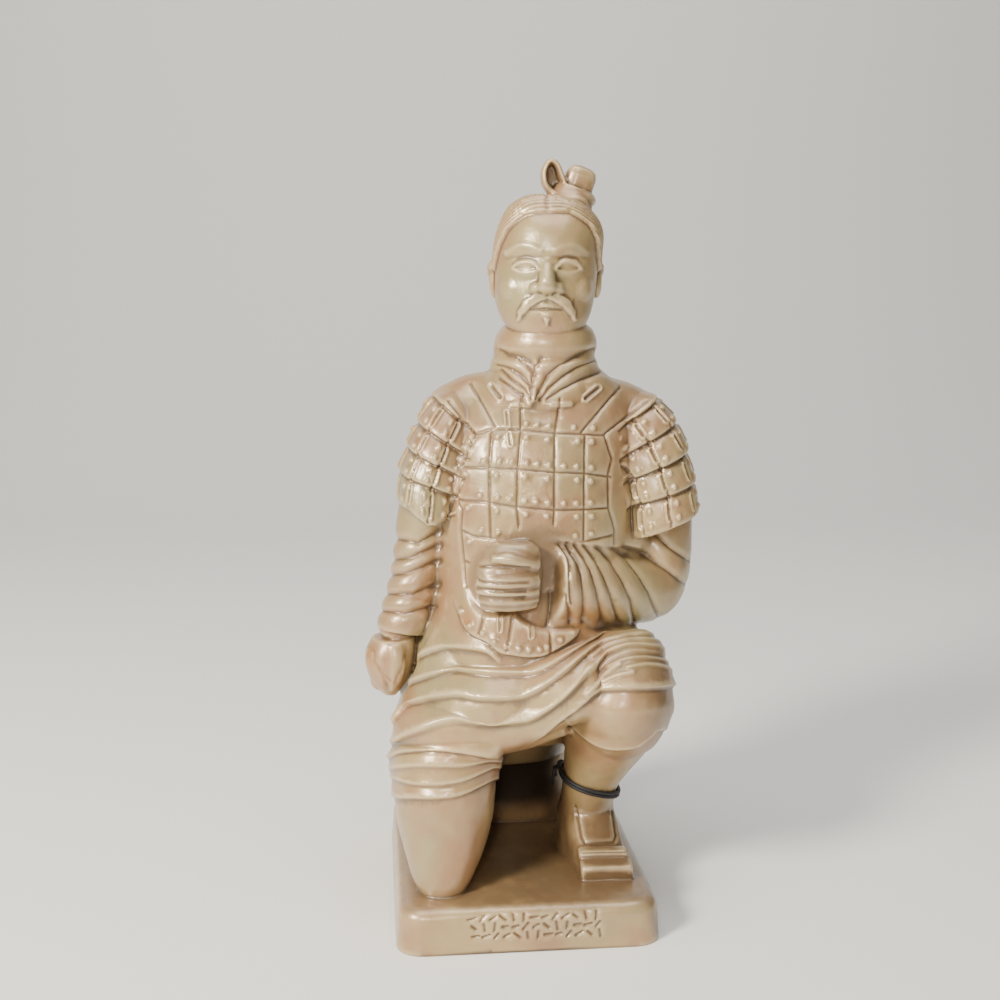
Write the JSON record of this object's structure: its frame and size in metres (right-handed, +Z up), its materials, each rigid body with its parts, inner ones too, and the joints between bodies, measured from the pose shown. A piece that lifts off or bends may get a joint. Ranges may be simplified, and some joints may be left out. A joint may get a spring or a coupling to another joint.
{
  "type": "kneeling warrior statue",
  "caption": "Kneeling armoured warrior figure cast in one with a low rectangular plinth, with an elastic cord round one ankle; a shelf ornament in satin clay.",
  "frame": {"origin": "centre of the plinth's underside", "axes": "+Z up through the figure, -Y the way the figure faces, +X to the viewer's right"},
  "size_m": [0.1358, 0.126, 0.2996],
  "materials": {
    "satin_clay": "satin, slightly glossy, mottled beige and tan",
    "elastic_cord": "matte black"
  },
  "bodies": {
    "root": {"warrior_statue": "satin_clay", "ankle_cord": "elastic_cord"}
  },
  "joints": []
}
